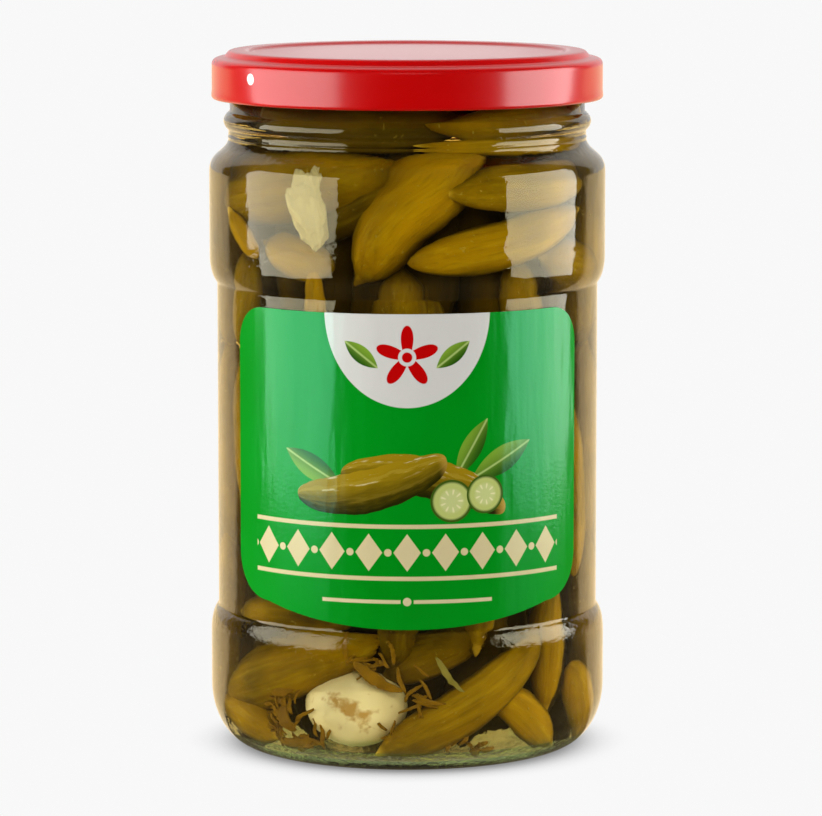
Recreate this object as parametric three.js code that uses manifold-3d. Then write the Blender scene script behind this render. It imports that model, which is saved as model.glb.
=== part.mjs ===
// A twist-off glass jar of pickled gherkins, in millimetres, +Z up.
// The origin is on the ground under the jar's axis. The label faces -Y.
// Azimuths are in degrees from that front, towards +X.
import * as THREE from 'three';
import { mergeVertices } from 'three/addons/utils/BufferGeometryUtils.js';
import Module from 'manifold-3d';

const wasm = await Module();
wasm.setup();

// Glass
const BULGE_RADIUS = 43.45;
const PANEL_RADIUS = 41.8;
const NECK_RADIUS = 39.2;
const BEAD_RADIUS = 40.35;
const FINISH_RADIUS = 38.9;
const MOUTH_RADIUS = 36.4;
const WALL = 2.6;
const BEARING_INNER = 31.8;
const BEARING_OUTER = 34.2;
const HEEL_TOP = 13.5;
const PANEL_BOTTOM = 31;
const PANEL_TOP = 102.5;
const STEP_RISE = 5.6;
const SHOULDER_BOTTOM = 127;
const NECK_BOTTOM = 134.2;
const BEAD_MIDDLE = 138;
const BEAD_HALF = 2.1;
const LIP_TOP = 152.1;
const PUSH_UP = 1.4;
const FLOOR_HEIGHT = 4;

// Lid
const LID_RADIUS = 42.8;
const LID_BOTTOM = 142.7;
const LID_SHOULDER = 150.3;
const LID_TOP = 153.3;
const LID_SHEET = 0.7;
const PANEL_DROP = 0.55;
const RING_OUTER = 39.6;
const RING_INNER = 34.6;
const CURL_SIZE = 1.5;
const LUG_COUNT = 6;
const LUG_DENT = 0.35;

// Label
const LABEL_GAP = 0.2;
const LABEL_THICKNESS = 0.3;
const LABEL_HALF_WIDTH = 43;
const LABEL_TOP = 99.7;
const LABEL_TOP_CORNER = 8;
const LABEL_BOTTOM = 31.9;
const LABEL_SAG_RADIUS = 128;
const LABEL_LOW_CORNER = 10;
const LABEL_COLUMNS = 28;

// Contents
const CLEARANCE = 0.5;
const FLOOR_CLEARANCE = 0.6;
const CUT_GAP = 0.5;
const CORE_RADIUS = 30.5;
const HEAP_BOTTOM = 4.7;
const HEAP_TOP = 137;
const GHERKIN_SIDES = 6;
const GHERKIN_RINGS = 5;
const GOLDEN_STEP = 0.618034;

const SEGMENTS = 56;

// Gherkins that show in front, above and below the label.
// Each runs from its stalk end to its blossom end, and an end is [azimuth, height].
// Bow bends it, depth puts it further behind the wall, tilt puts its blossom end deeper,
// and belly is the share of its length at which it is thickest.
const FRONT_GHERKINS = [
  { from: [-81, 121], to: [-2.5, 128.3], thick: 14.3, belly: 0.36 },
  { from: [-40, 114.6], to: [-1, 127.5], thick: 10, depth: 3.5 },
  { from: [30, 132], to: [-17, 106.3], thick: 15.4, bow: -4, depth: 1.5, tilt: -3 },
  { from: [70, 125.2], to: [12.5, 124.8], thick: 8.2, bow: 0.5 },
  { from: [0, 110], to: [68, 119.5], thick: 10.6, bow: -1 },
  { from: [84, 106], to: [50, 110.4], thick: 10, depth: 1 },
  { from: [47, 90], to: [38.9, 110], thick: 9.1, depth: 1 },
  { from: [-53, 110], to: [-68.5, 119], thick: 5 },
  { from: [-70, 90], to: [-60, 112], thick: 7.5 },
  { from: [-25, 108.5], to: [-53, 113], thick: 9.3, depth: 1.5 },
  { from: [-30.5, 88], to: [-31.3, 109.2], thick: 4.8 },
  { from: [-1.5, 86], to: [-2.5, 108.5], thick: 11.9, depth: 3 },
  { from: [10, 86], to: [7.2, 103.7], thick: 7, depth: 5 },
  { from: [-78, 134], to: [22, 136.5], thick: 9.5, bow: 1, depth: 3.5 },
  { from: [98, 130], to: [4, 134.5], thick: 9, bow: -2, depth: 3.5 },
  { from: [-9, 27.5], to: [-77.5, 11], thick: 13, bow: -1.5, belly: 0.56 },
  { from: [-18, 33], to: [-72, 31], thick: 10, depth: 1 },
  { from: [-80, 10.5], to: [-47, 7], thick: 8, bow: 1 },
  { from: [-2, 40], to: [-4.4, 22.4], thick: 8.4, depth: 2 },
  { from: [49, 27.5], to: [-9, 5], thick: 10.4, bow: 2 },
  { from: [27, 19], to: [56.5, 4.5], thick: 8, depth: 2 },
  { from: [58, 40], to: [54.5, 11], thick: 8, depth: 3.5 },
  { from: [66, 20.5], to: [77, 4], thick: 9 },
  { from: [27, 44], to: [23.8, 26], thick: 6.5, depth: 1 },
];

// Rows of standing gherkins round the sides and the back.
const STANDING_ROWS = [
  { low: 6, high: 48, first: 90, last: 268, thick: 12.5 },
  { low: 41, high: 88, first: 66, last: 296, thick: 12 },
  { low: 85, high: 131, first: 88, last: 268, thick: 12.5 },
];
const STANDING_STEP = 21;
const STANDING_LEAN = 9;

const GARLIC_BULB = { azimuth: -19, height: 13.7, axisDistance: 31.2, width: 10.5, depth: 8.2, tall: 7.9 };
const GARLIC_CLOVE = { azimuth: -32, height: 122, axisDistance: 36.4, width: 4.3, depth: 3, tall: 8.2, lean: -14 };

// Herb shreds lie flat against the wall round the garlic bulb.
const HERB_SHREDS = [
  { name: 'herb_shred_1', from: [-47, 16.3], to: [-34, 19.4], width: 2.6 },
  { name: 'herb_shred_2', from: [-38, 8.4], to: [-42.7, 14.8], width: 3 },
  { name: 'herb_shred_3', from: [-17, 23.2], to: [-1, 18.8], width: 2.8 },
  { name: 'herb_shred_4', from: [-46, 6.8], to: [-29, 5.6], width: 1.8 },
  { name: 'herb_shred_5', from: [-3.5, 5.8], to: [-7.8, 8.4], width: 2 },
  { name: 'herb_twig', from: [2.5, 17], to: [12, 15.2], width: 1 },
  { name: 'herb_stem', from: [8.8, 25.2], to: [18, 17.5], width: 1.4 },
];
const HERB_THICKNESS = 0.8;
const HERB_WAVE = 0.5;
const HERB_STATIONS = 8;

function radians(degrees) {
  return degrees * Math.PI / 180;
}

function mix(a, b, share) {
  return a + (b - a) * share;
}

// A position at an azimuth, a distance from the axis and a height.
function place(azimuth, distance, height) {
  const angle = radians(azimuth);
  return new THREE.Vector3(distance * Math.sin(angle), -distance * Math.cos(angle), height);
}

// Leaves only positions, with shared vertices merged.
function closed(geometry) {
  const plain = geometry.clone();
  plain.deleteAttribute('normal');
  plain.deleteAttribute('uv');
  return mergeVertices(plain, 1e-4);
}

function mesh(name, geometry, colour, roughness, metalness = 0) {
  const material = new THREE.MeshStandardMaterial({ color: colour, roughness, metalness });
  const result = new THREE.Mesh(closed(geometry), material);
  result.name = name;
  return result;
}

// Turns an outline of radius and height about the vertical axis.
function revolve(outline, segments = SEGMENTS) {
  return new THREE.LatheGeometry(outline, segments).rotateX(Math.PI / 2);
}

// Moves every vertex by a function that changes a point in place.
function warp(geometry, move) {
  const positions = geometry.attributes.position;
  const point = new THREE.Vector3();
  for (let i = 0; i < positions.count; i += 1) {
    point.fromBufferAttribute(positions, i);
    move(point);
    positions.setXYZ(i, point.x, point.y, point.z);
  }
  return geometry;
}

function toSolid(geometry) {
  const plain = closed(geometry);
  const vertProperties = Float32Array.from(plain.attributes.position.array);
  const triVerts = Uint32Array.from(plain.index.array);
  return new wasm.Manifold(new wasm.Mesh({ numProp: 3, vertProperties, triVerts }));
}

function fromSolid(solid) {
  const { numProp, vertProperties, triVerts } = solid.getMesh();
  const positions = [];
  for (let i = 0; i < vertProperties.length; i += numProp) {
    positions.push(vertProperties[i], vertProperties[i + 1], vertProperties[i + 2]);
  }
  const geometry = new THREE.BufferGeometry();
  geometry.setAttribute('position', new THREE.Float32BufferAttribute(positions, 3));
  geometry.setIndex(Array.from(triVerts));
  return geometry;
}

// Outside of the glass, from the middle of the base up to the lip.
function glassOutside() {
  const path = new THREE.Path();
  path.moveTo(0, PUSH_UP);
  path.lineTo(BEARING_INNER - 6, PUSH_UP * 0.8);
  path.lineTo(BEARING_INNER - 0.8, 0.6);
  path.lineTo(BEARING_INNER, 0);
  path.lineTo(BEARING_OUTER, 0);
  path.absellipse(BEARING_OUTER, HEEL_TOP, BULGE_RADIUS - BEARING_OUTER, HEEL_TOP, -Math.PI / 2, 0, false);
  path.lineTo(BULGE_RADIUS, PANEL_BOTTOM - STEP_RISE);
  path.quadraticCurveTo(BULGE_RADIUS - 0.1, PANEL_BOTTOM - 1.6, PANEL_RADIUS, PANEL_BOTTOM);
  path.lineTo(PANEL_RADIUS, PANEL_TOP);
  path.quadraticCurveTo(BULGE_RADIUS - 0.1, PANEL_TOP + 1.8, BULGE_RADIUS, PANEL_TOP + STEP_RISE);
  path.lineTo(BULGE_RADIUS, SHOULDER_BOTTOM);
  path.bezierCurveTo(
    BULGE_RADIUS, SHOULDER_BOTTOM + 4.2,
    NECK_RADIUS + 0.6, SHOULDER_BOTTOM + 4.8,
    NECK_RADIUS, NECK_BOTTOM,
  );
  path.lineTo(NECK_RADIUS, BEAD_MIDDLE - BEAD_HALF);
  path.quadraticCurveTo(2 * BEAD_RADIUS - NECK_RADIUS, BEAD_MIDDLE, FINISH_RADIUS, BEAD_MIDDLE + BEAD_HALF);
  path.lineTo(FINISH_RADIUS, LIP_TOP - 1);
  path.quadraticCurveTo(FINISH_RADIUS - 0.2, LIP_TOP, FINISH_RADIUS - 1.2, LIP_TOP);
  return path;
}

// Inside of the glass, from the lip down to the middle of the floor.
function glassInside() {
  const heel = 9.5;
  const bulge = BULGE_RADIUS - WALL;
  const panel = PANEL_RADIUS - WALL;
  const heelFoot = bulge - heel;
  const path = new THREE.Path();
  path.moveTo(MOUTH_RADIUS + 0.6, LIP_TOP);
  path.lineTo(MOUTH_RADIUS, LIP_TOP - 1);
  path.lineTo(MOUTH_RADIUS, NECK_BOTTOM + 0.6);
  path.bezierCurveTo(
    MOUTH_RADIUS + 0.3, SHOULDER_BOTTOM + 4.2,
    bulge, SHOULDER_BOTTOM + 3.4,
    bulge, SHOULDER_BOTTOM - 1,
  );
  path.lineTo(bulge, PANEL_TOP + STEP_RISE);
  path.lineTo(panel, PANEL_TOP);
  path.lineTo(panel, PANEL_BOTTOM);
  path.lineTo(bulge, PANEL_BOTTOM - STEP_RISE);
  path.lineTo(bulge, HEEL_TOP);
  path.absellipse(heelFoot, HEEL_TOP, heel, HEEL_TOP - FLOOR_HEIGHT + 0.8, 0, -Math.PI / 2, true);
  path.lineTo(0, FLOOR_HEIGHT);
  return path;
}

const CURVE_STEPS = 3;
const INSIDE_POINTS = glassInside().getPoints(CURVE_STEPS);

// Inner radius of the glass at a height.
function wallRadius(height) {
  let radius = MOUTH_RADIUS;
  for (let i = 1; i < INSIDE_POINTS.length; i += 1) {
    const upper = INSIDE_POINTS[i - 1];
    const lower = INSIDE_POINTS[i];
    if (height <= upper.y && height >= lower.y && upper.y > lower.y) {
      radius = mix(lower.x, upper.x, (height - lower.y) / (upper.y - lower.y));
    }
  }
  return radius;
}

function glassJar() {
  const outline = [...glassOutside().getPoints(CURVE_STEPS), ...INSIDE_POINTS];
  return mesh('glass_jar', revolve(outline), 0xb9c8a4, 0.08);
}

// Pressed steel lid: recessed panel, raised ring, skirt and a curled edge dented at the lugs.
function lid() {
  const ringUnder = LID_TOP - LID_SHEET;
  const panelTop = LID_TOP - PANEL_DROP;
  const inner = LID_RADIUS - LID_SHEET;
  const path = new THREE.Path();
  path.moveTo(0, panelTop - LID_SHEET);
  path.lineTo(RING_INNER - 1.2, panelTop - LID_SHEET);
  path.lineTo(RING_INNER, ringUnder);
  path.lineTo(RING_OUTER - 0.8, ringUnder);
  path.lineTo(RING_OUTER + 1, LID_SHOULDER + 0.6);
  path.lineTo(inner, LID_SHOULDER - 0.3);
  path.lineTo(inner, LID_BOTTOM + CURL_SIZE);
  path.lineTo(inner - 0.8, LID_BOTTOM + CURL_SIZE * 0.6);
  path.lineTo(inner - 0.6, LID_BOTTOM);
  path.lineTo(LID_RADIUS - 0.2, LID_BOTTOM);
  path.lineTo(LID_RADIUS + 0.1, LID_BOTTOM + CURL_SIZE * 0.5);
  path.lineTo(LID_RADIUS, LID_BOTTOM + CURL_SIZE);
  path.lineTo(LID_RADIUS, LID_SHOULDER);
  path.quadraticCurveTo(LID_RADIUS, LID_SHOULDER + 1.4, LID_RADIUS - 2.2, LID_SHOULDER + 1.5);
  path.lineTo(RING_OUTER + 0.4, LID_SHOULDER + 1.9);
  path.lineTo(RING_OUTER - 0.4, LID_TOP - 0.3);
  path.lineTo(RING_OUTER - 1.4, LID_TOP);
  path.lineTo(RING_INNER + 0.8, LID_TOP);
  path.lineTo(RING_INNER - 0.2, LID_TOP - 0.4);
  path.lineTo(RING_INNER - 1, panelTop);
  path.lineTo(0, panelTop);
  const geometry = revolve(path.getPoints(3));
  warp(geometry, (point) => {
    if (point.z < LID_BOTTOM + CURL_SIZE) {
      const azimuth = Math.atan2(point.x, -point.y);
      const dent = LUG_DENT * Math.max(0, Math.cos(LUG_COUNT * azimuth));
      const shrink = 1 - dent / LID_RADIUS;
      point.x *= shrink;
      point.y *= shrink;
    }
  });
  return mesh('lid', geometry, 0xd80f1c, 0.25);
}

// Height of the label's upper edge at a distance along it from its middle.
function labelTop(along) {
  const over = Math.max(0, Math.abs(along) - (LABEL_HALF_WIDTH - LABEL_TOP_CORNER));
  return LABEL_TOP - LABEL_TOP_CORNER + Math.sqrt(Math.max(0, LABEL_TOP_CORNER ** 2 - over ** 2));
}

// Height of the label's lower edge, which sags towards the middle.
function labelBottom(along) {
  const cornerStart = LABEL_HALF_WIDTH - LABEL_LOW_CORNER;
  const sag = Math.min(Math.abs(along), cornerStart);
  const over = Math.max(0, Math.abs(along) - cornerStart);
  const low = LABEL_BOTTOM + LABEL_SAG_RADIUS - Math.sqrt(LABEL_SAG_RADIUS ** 2 - sag ** 2);
  return low + LABEL_LOW_CORNER - Math.sqrt(Math.max(0, LABEL_LOW_CORNER ** 2 - over ** 2));
}

// Paper label wrapped round the front of the panel. Its columns crowd towards the corners.
function label() {
  const inner = PANEL_RADIUS + LABEL_GAP;
  const geometry = new THREE.BoxGeometry(2, 2, 2, LABEL_COLUMNS, 2, 1);
  warp(geometry, (point) => {
    const along = LABEL_HALF_WIDTH * (1.5 * point.x - 0.5 * point.x ** 3);
    const height = mix(labelBottom(along), labelTop(along), (point.y + 1) / 2);
    const radius = inner + LABEL_THICKNESS * (point.z + 1) / 2;
    point.copy(place(along / (inner * Math.PI / 180), radius, height));
  });
  return mesh('label', geometry, 0x0c9a3a, 0.35);
}

// Half thickness of a gherkin of unit thickness at a share of its length, most at its belly.
function taper(share, belly) {
  const even = Math.pow(share, Math.log(0.5) / Math.log(belly));
  return 0.5 * Math.pow(Math.sin(Math.PI * (0.04 + 0.92 * even)), 0.62);
}

// Keeps a point inside the glass and above its floor.
function keepInside(point) {
  point.z = Math.max(point.z, FLOOR_HEIGHT + FLOOR_CLEARANCE);
  const distance = Math.hypot(point.x, point.y);
  const limit = wallRadius(point.z) - CLEARANCE;
  if (distance > limit) {
    point.x *= limit / distance;
    point.y *= limit / distance;
  }
}

// A gherkin bent along the wall between its two tips.
function gherkin({ from, to, thick, bow = 0, depth = 0, tilt = 0, belly = 0.5 }) {
  const outline = [];
  for (let i = 0; i <= GHERKIN_RINGS + 1; i += 1) {
    const share = 0.5 - 0.5 * Math.cos(Math.PI * i / (GHERKIN_RINGS + 1));
    const onAxis = i === 0 || i === GHERKIN_RINGS + 1;
    outline.push(new THREE.Vector2(onAxis ? 0 : thick * taper(share, belly), share));
  }
  const geometry = new THREE.LatheGeometry(outline, GHERKIN_SIDES);
  const middle = wallRadius(mix(from[1], to[1], 0.5)) - CLEARANCE - thick / 2 - depth;
  const across = radians(to[0] - from[0]) * middle;
  const rise = to[1] - from[1];
  const length = Math.hypot(across, rise);
  warp(geometry, (point) => {
    const share = point.y;
    const lift = bow * Math.sin(Math.PI * share) + point.z;
    const along = across * share - lift * rise / length;
    const height = from[1] + rise * share + lift * across / length;
    const azimuth = from[0] + along / (middle * Math.PI / 180);
    point.copy(place(azimuth, middle + point.x - tilt * (share - 0.5), height));
    keepInside(point);
  });
  return geometry;
}

// Standing gherkins lean by a slow wave round the jar, with sizes drawn by the golden ratio.
function standingGherkins() {
  const pieces = [];
  for (const row of STANDING_ROWS) {
    const count = Math.floor((row.last - row.first) / STANDING_STEP);
    for (let i = 0; i <= count; i += 1) {
      const draw = ((pieces.length + 1) * GOLDEN_STEP) % 1;
      const azimuth = mix(row.first, row.last, i / count);
      const lean = STANDING_LEAN * Math.sin(radians(3 * azimuth + row.high));
      const shift = mix(-4, 4, draw);
      pieces.push({
        from: [azimuth - lean, row.low + shift],
        to: [azimuth + lean, row.high + shift],
        thick: row.thick * mix(0.85, 1.1, draw),
        bow: mix(-2, 2, draw),
        depth: mix(0, 1.5, draw),
      });
    }
  }
  return pieces;
}

// Plain body behind the gherkins. It joins them into one heap.
function core() {
  const outline = [
    new THREE.Vector2(0, HEAP_BOTTOM),
    new THREE.Vector2(CORE_RADIUS - 4, HEAP_BOTTOM),
    new THREE.Vector2(CORE_RADIUS, HEAP_BOTTOM + 7),
    new THREE.Vector2(CORE_RADIUS, SHOULDER_BOTTOM),
    new THREE.Vector2(CORE_RADIUS - 3, HEAP_TOP),
    new THREE.Vector2(0, HEAP_TOP),
  ];
  return revolve(outline, 20);
}

// A garlic piece: an uneven ball stretched to its sizes, leaning and pressed towards the wall.
function garlic({ azimuth, height, axisDistance, width, depth, tall, lean = 0 }, detail, grow = 0) {
  const geometry = new THREE.SphereGeometry(1, detail, Math.round(detail * 0.6));
  warp(geometry, (point) => {
    const uneven = 1 + 0.05 * Math.sin(3 * point.x + 2 * point.z) * Math.cos(2 * point.y);
    point.set(
      point.x * (width * uneven + grow),
      -point.z * (depth * uneven + grow),
      point.y * (tall * uneven + grow),
    );
  });
  geometry.rotateY(radians(lean)).rotateZ(radians(azimuth));
  const centre = place(azimuth, axisDistance, height);
  return geometry.translate(centre.x, centre.y, centre.z);
}

// A herb shred: a thin leaf-shaped strip, wavy through its thickness, laid along the wall.
function shred({ from, to, width }, grow = 0) {
  const upper = [];
  const lower = [];
  for (let i = 0; i <= HERB_STATIONS; i += 1) {
    const share = i / HERB_STATIONS;
    const half = width * (0.15 + 0.35 * Math.sin(Math.PI * share)) + grow;
    upper.push(new THREE.Vector2(share, half));
    lower.unshift(new THREE.Vector2(share, -half));
  }
  const thickness = HERB_THICKNESS + 2 * grow;
  const outline = new THREE.Shape([...lower, ...upper].reverse());
  const geometry = new THREE.ExtrudeGeometry(outline, { depth: thickness, bevelEnabled: false });
  const ground = wallRadius((from[1] + to[1]) / 2) - CLEARANCE - HERB_THICKNESS - 2 * HERB_WAVE;
  const across = radians(to[0] - from[0]) * ground;
  const rise = to[1] - from[1];
  const length = Math.hypot(across, rise);
  return warp(geometry, (point) => {
    const share = point.x * (1 + 2 * grow / length) - grow / length;
    const wave = HERB_WAVE * Math.sin(2 * Math.PI * point.x);
    const along = across * share - point.y * rise / length;
    const height = from[1] + rise * share + point.y * across / length;
    const azimuth = from[0] + along / (ground * Math.PI / 180);
    const safe = Math.min(ground, wallRadius(height) - CLEARANCE - HERB_THICKNESS - HERB_WAVE);
    point.copy(place(azimuth, safe + wave + point.z - grow, height));
  });
}

// The largest body of a solid, with its sealed hollows filled.
function outerBody(solid) {
  const bodies = solid.decompose();
  bodies.sort((a, b) => b.volume() - a.volume());
  return bodies[0];
}

// All gherkins and the core as one heap, cut clear of the garlic and the herbs.
function heap() {
  let solid = toSolid(core());
  for (const spec of [...FRONT_GHERKINS, ...standingGherkins()]) {
    solid = solid.add(toSolid(gherkin(spec)));
  }
  solid = solid.subtract(toSolid(garlic(GARLIC_BULB, 14, CUT_GAP)));
  solid = solid.subtract(toSolid(garlic(GARLIC_CLOVE, 10, CUT_GAP)));
  for (const spec of HERB_SHREDS) {
    solid = solid.subtract(toSolid(shred(spec, CUT_GAP)));
  }
  return mesh('pickles', fromSolid(outerBody(solid)), 0x7d7414, 0.5);
}

const jar = new THREE.Group();
jar.add(glassJar(), lid(), label(), heap());
jar.add(mesh('garlic_bulb', garlic(GARLIC_BULB, 16), 0xe6dca6, 0.45));
jar.add(mesh('garlic_clove', garlic(GARLIC_CLOVE, 10), 0xd9cb8a, 0.5));
for (const spec of HERB_SHREDS) {
  jar.add(mesh(spec.name, shred(spec), 0x6b5410, 0.6));
}

export default jar;
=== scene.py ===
import math

import bmesh
import bpy
from mathutils import Matrix, Vector, noise


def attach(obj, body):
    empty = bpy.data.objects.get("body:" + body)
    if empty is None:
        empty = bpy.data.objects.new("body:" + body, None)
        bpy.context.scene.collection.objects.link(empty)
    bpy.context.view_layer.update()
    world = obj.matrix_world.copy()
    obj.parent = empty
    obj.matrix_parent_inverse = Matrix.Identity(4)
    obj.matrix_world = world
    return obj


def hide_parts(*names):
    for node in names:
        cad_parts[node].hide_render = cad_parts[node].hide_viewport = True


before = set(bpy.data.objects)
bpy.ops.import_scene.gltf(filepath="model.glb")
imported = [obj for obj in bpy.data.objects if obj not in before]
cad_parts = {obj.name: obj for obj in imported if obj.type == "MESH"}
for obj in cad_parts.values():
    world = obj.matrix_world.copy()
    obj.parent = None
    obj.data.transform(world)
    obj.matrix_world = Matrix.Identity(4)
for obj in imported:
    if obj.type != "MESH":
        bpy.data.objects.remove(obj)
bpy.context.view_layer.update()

MM = 0.001
CRISP_ANGLE = 0.7

# Photograph's camera
CAMERA_DISTANCE = 1050.0
CAMERA_HEIGHT = 212.4
CAMERA_SIDE = 0.82
CAMERA_PITCH = 7.5
CAMERA_LENS = 209.9
SENSOR_WIDTH = 36.0
WHITE_LEVEL = 0.94

# Lamps, in metres. Those that light dull surfaces stand a little behind those that show in reflections
SOFTBOX_DISTANCE = 0.40
LAMP_SPACE = 0.03
# Softboxes that show in reflections: first and last azimuth, low, high, radiance
REFLECTED_SOFTBOXES = {
    "softbox_left_top": (-39, -102.5, 0.063, 0.34, 4.6),
    "softbox_left_foot": (-42, -91, 0.004, 0.063, 5.4),
    "softbox_right_top": (56.5, 110, 0.063, 0.34, 6.0),
    "softbox_right_foot": (60, 107, 0.004, 0.063, 5.4),
}
# Their light on dull surfaces: first and last azimuth
SIDE_LIGHTS = {"side_light_left": (-39.5, -106), "side_light_right": (58.5, 113.5)}
SIDE_LIGHT_LOW = 0.004
SIDE_LIGHT_HIGH = 0.19
SIDE_LIGHT_RADIANCE = 7.6
MAX_BOUNCES = 16
TRANSMISSION_BOUNCES = 12
FLOOR_RADIUS = 4.0

# Glass, with the solid's sizes in millimetres
BULGE_RADIUS = 43.45
PANEL_RADIUS = 41.8
NECK_RADIUS = 39.2
BEAD_RADIUS = 40.35
FINISH_RADIUS = 38.9
MOUTH_RADIUS = 36.4
WALL = 2.6
BEARING_INNER = 31.8
BEARING_OUTER = 34.2
HEEL_TOP = 13.5
INNER_HEEL = 9.5
PANEL_BOTTOM = 31.0
PANEL_TOP = 102.5
STEP_RISE = 5.6
SHOULDER_BOTTOM = 127.0
NECK_BOTTOM = 134.2
BEAD_MIDDLE = 138.0
BEAD_HALF = 2.1
LIP_TOP = 152.1
PUSH_UP = 1.4
FLOOR_HEIGHT = 4.0
GLASS_SEGMENTS = 144
GLASS_IOR = 1.5
# Rings this close to its steps keep the panel's smooth shading flat
EDGE_RING = 0.4
# The inner floor's stippled finish ends this far above it
FLOOR_BAND = 1.2

# Lid
LID_RADIUS = 42.8
LID_BOTTOM = 142.7
LID_SHOULDER = 150.3
LID_TOP = 153.3
LID_SHEET = 0.7
PANEL_DROP = 0.55
PANEL_DOME = 0.25
RING_OUTER = 39.6
RING_INNER = 34.6
CURL_SIZE = 1.5
LUG_COUNT = 6
LUG_DENT = 0.35
LID_SEGMENTS = 180
DOT_AZIMUTH = -51.5
DOT_HEIGHT = 148.4
DOT_RADIUS = 1.3
DOT_SOFTNESS = 0.15

# Label
LABEL_GAP = 0.2
LABEL_THICKNESS = 0.3
LABEL_HALF_WIDTH = 43.0
LABEL_TOP = 99.7
LABEL_TOP_CORNER = 8.0
LABEL_BOTTOM = 31.9
LABEL_SAG_RADIUS = 128.0
LABEL_LOW_CORNER = 10.0
PRINT_GREENS = ((0.0, 0.235, 0.004), (0.0, 0.30, 0.012))
PRINT_IVORY = (0.67, 0.66, 0.62)
PRINT_RED = (0.52, 0.0, 0.001)
PRINT_CREAM = (0.67, 0.57, 0.31)
PRINT_PALE_CREAM = (0.67, 0.58, 0.34)
BLOSSOM_HEIGHT = 90.5
FRIEZE_HEIGHT = 48.6
FOOT_LINE_HEIGHT = 38.0

# Brine: it reaches just into the glass and up under the lid
BRINE_OVERLAP = 0.06
BRINE_TOP = 146.0
BRINE_IOR = 1.34
BRINE_COLOUR = (0.87, 0.78, 0.42)
BRINE_DENSITY = 40.0

# Dry glass reflects fully, and glass that meets brine hardly. The edge glow warms what the glass edges
# show, and the base band is the height of the thick green foot.
GLASS_REFLECTION = (1.0, 0.92, 0.60)
WET_REFLECTION = (0.08, 0.08, 0.08)
CLEAR_TINT = (0.985, 0.94, 0.74)
BASE_TINT = (0.52, 0.80, 0.54)
GLASS_EDGE_GLOW = (1.30, 1.04, 0.66)
BASE_BAND = 2.6

# Gherkins, garlic and herbs
CLEARANCE = 0.5
FLOOR_CLEARANCE = 0.6
CORE_RADIUS = 22.0
CORE_BOTTOM = 6.0
CORE_TOP = 137.0
CORE_LUMPS = 2.5
BLOSSOM_NUB = 1.6
NUB_RADIUS = 0.9
TIP_REACH = 2.4
GOLDEN_STEP = 0.618034
FLESH_TONES = ((0.090, 0.056, 0.0006), (0.44, 0.25, 0.0005))
STREAK_TONES = ((0.24, 0.175, 0.005), (0.58, 0.39, 0.007))
DARK_LINE = (0.05, 0.032, 0.0008)
PALE_SPECK = (0.50, 0.38, 0.05)
# Painted shade: skin that lies deep behind the wall turns to this dark brown
DEEP_BROWN = (0.034, 0.020, 0.0006)
# Painted shade: skin at the gherkins' edges turns to this dark brown
EDGE_BROWN = (0.034, 0.024, 0.0006)
BLOSSOM_GOLD = (0.85, 0.58, 0.05)


def gherkin(stalk, blossom, thick, bow=0, depth=0, tilt=0, belly=0.5, tone=0.5, shade=1.0):
    """A gherkin between two ends, each an azimuth in degrees and a height in millimetres.

    Bow bends it, depth puts it further behind the wall, tilt puts its blossom end deeper, belly is the
    share of its length at which it is thickest, tone runs from olive at 0 to golden at 1, and shade
    says how strongly painted shade darkens it with its depth in the brine.
    """
    return {
        "stalk": stalk, "blossom": blossom, "thick": thick, "bow": bow, "depth": depth, "tilt": tilt,
        "belly": belly, "tone": tone, "shade": shade}


# Gherkins that show in front, above and below the label
FRONT_GHERKINS = [
    gherkin((-81, 121), (-2.5, 128.3), 14.3, depth=1.8, belly=0.36, tone=0.3),
    gherkin((-40, 114.6), (-1, 127.5), 10, depth=5, tone=0.2),
    gherkin((30, 132), (-17, 106.3), 15.4, bow=-4, depth=1.8, tilt=-2.6, tone=0.95),
    gherkin((70, 125.2), (12.5, 124.8), 8.2, bow=0.5, tone=0.55),
    gherkin((0, 110), (68, 119.5), 10.6, bow=-1, tone=0.65),
    gherkin((84, 106), (50, 110.4), 10, depth=1, tone=0.6),
    gherkin((47, 90), (38.9, 110), 9.1, depth=1, tone=0.4),
    gherkin((-53, 110), (-68.5, 119), 5, tone=1.0),
    gherkin((-70, 90), (-60, 112), 7.5, tone=0.5),
    gherkin((-25, 108.5), (-53, 113), 9.3, depth=1.5, tone=0.55),
    gherkin((-30.5, 88), (-31.3, 109.2), 4.8, tone=0.95),
    gherkin((-1.5, 86), (-2.5, 108.5), 11.9, depth=3, tone=0.4),
    gherkin((10, 86), (7.2, 103.7), 7, depth=5, tone=0.4),
    gherkin((-78, 134), (22, 136.5), 9.5, bow=1, depth=3.5, tone=0.15, shade=1.6),
    gherkin((98, 130), (4, 134.5), 9, bow=-2, depth=2, tone=0.45, shade=0.8),
    gherkin((-9, 27.5), (-77.5, 11), 13, bow=-1.5, belly=0.56, tone=0.5, shade=0.4),
    gherkin((-18, 33), (-72, 31), 10, depth=1, tone=0.3),
    gherkin((-80, 10.5), (-47, 7), 8, bow=1, tone=0.75),
    gherkin((-2, 40), (-4.4, 22.4), 8.4, depth=2, tone=0.2),
    gherkin((49, 27.5), (-9, 5), 10.4, bow=2, tone=0.5, shade=0.7),
    gherkin((27, 19), (56.5, 4.5), 8, depth=2, tone=1.0, shade=0.3),
    gherkin((58, 40), (54.5, 11), 8, depth=3.5, tone=0.8, shade=0.8),
    gherkin((66, 20.5), (77, 4), 9, tone=0.85, shade=0.5),
    gherkin((27, 44), (23.8, 26), 6.5, depth=1, tone=0.5),
    gherkin((32, 32), (-8, 20), 10, depth=4.5, tone=0.2, shade=0.8),
]
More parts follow.
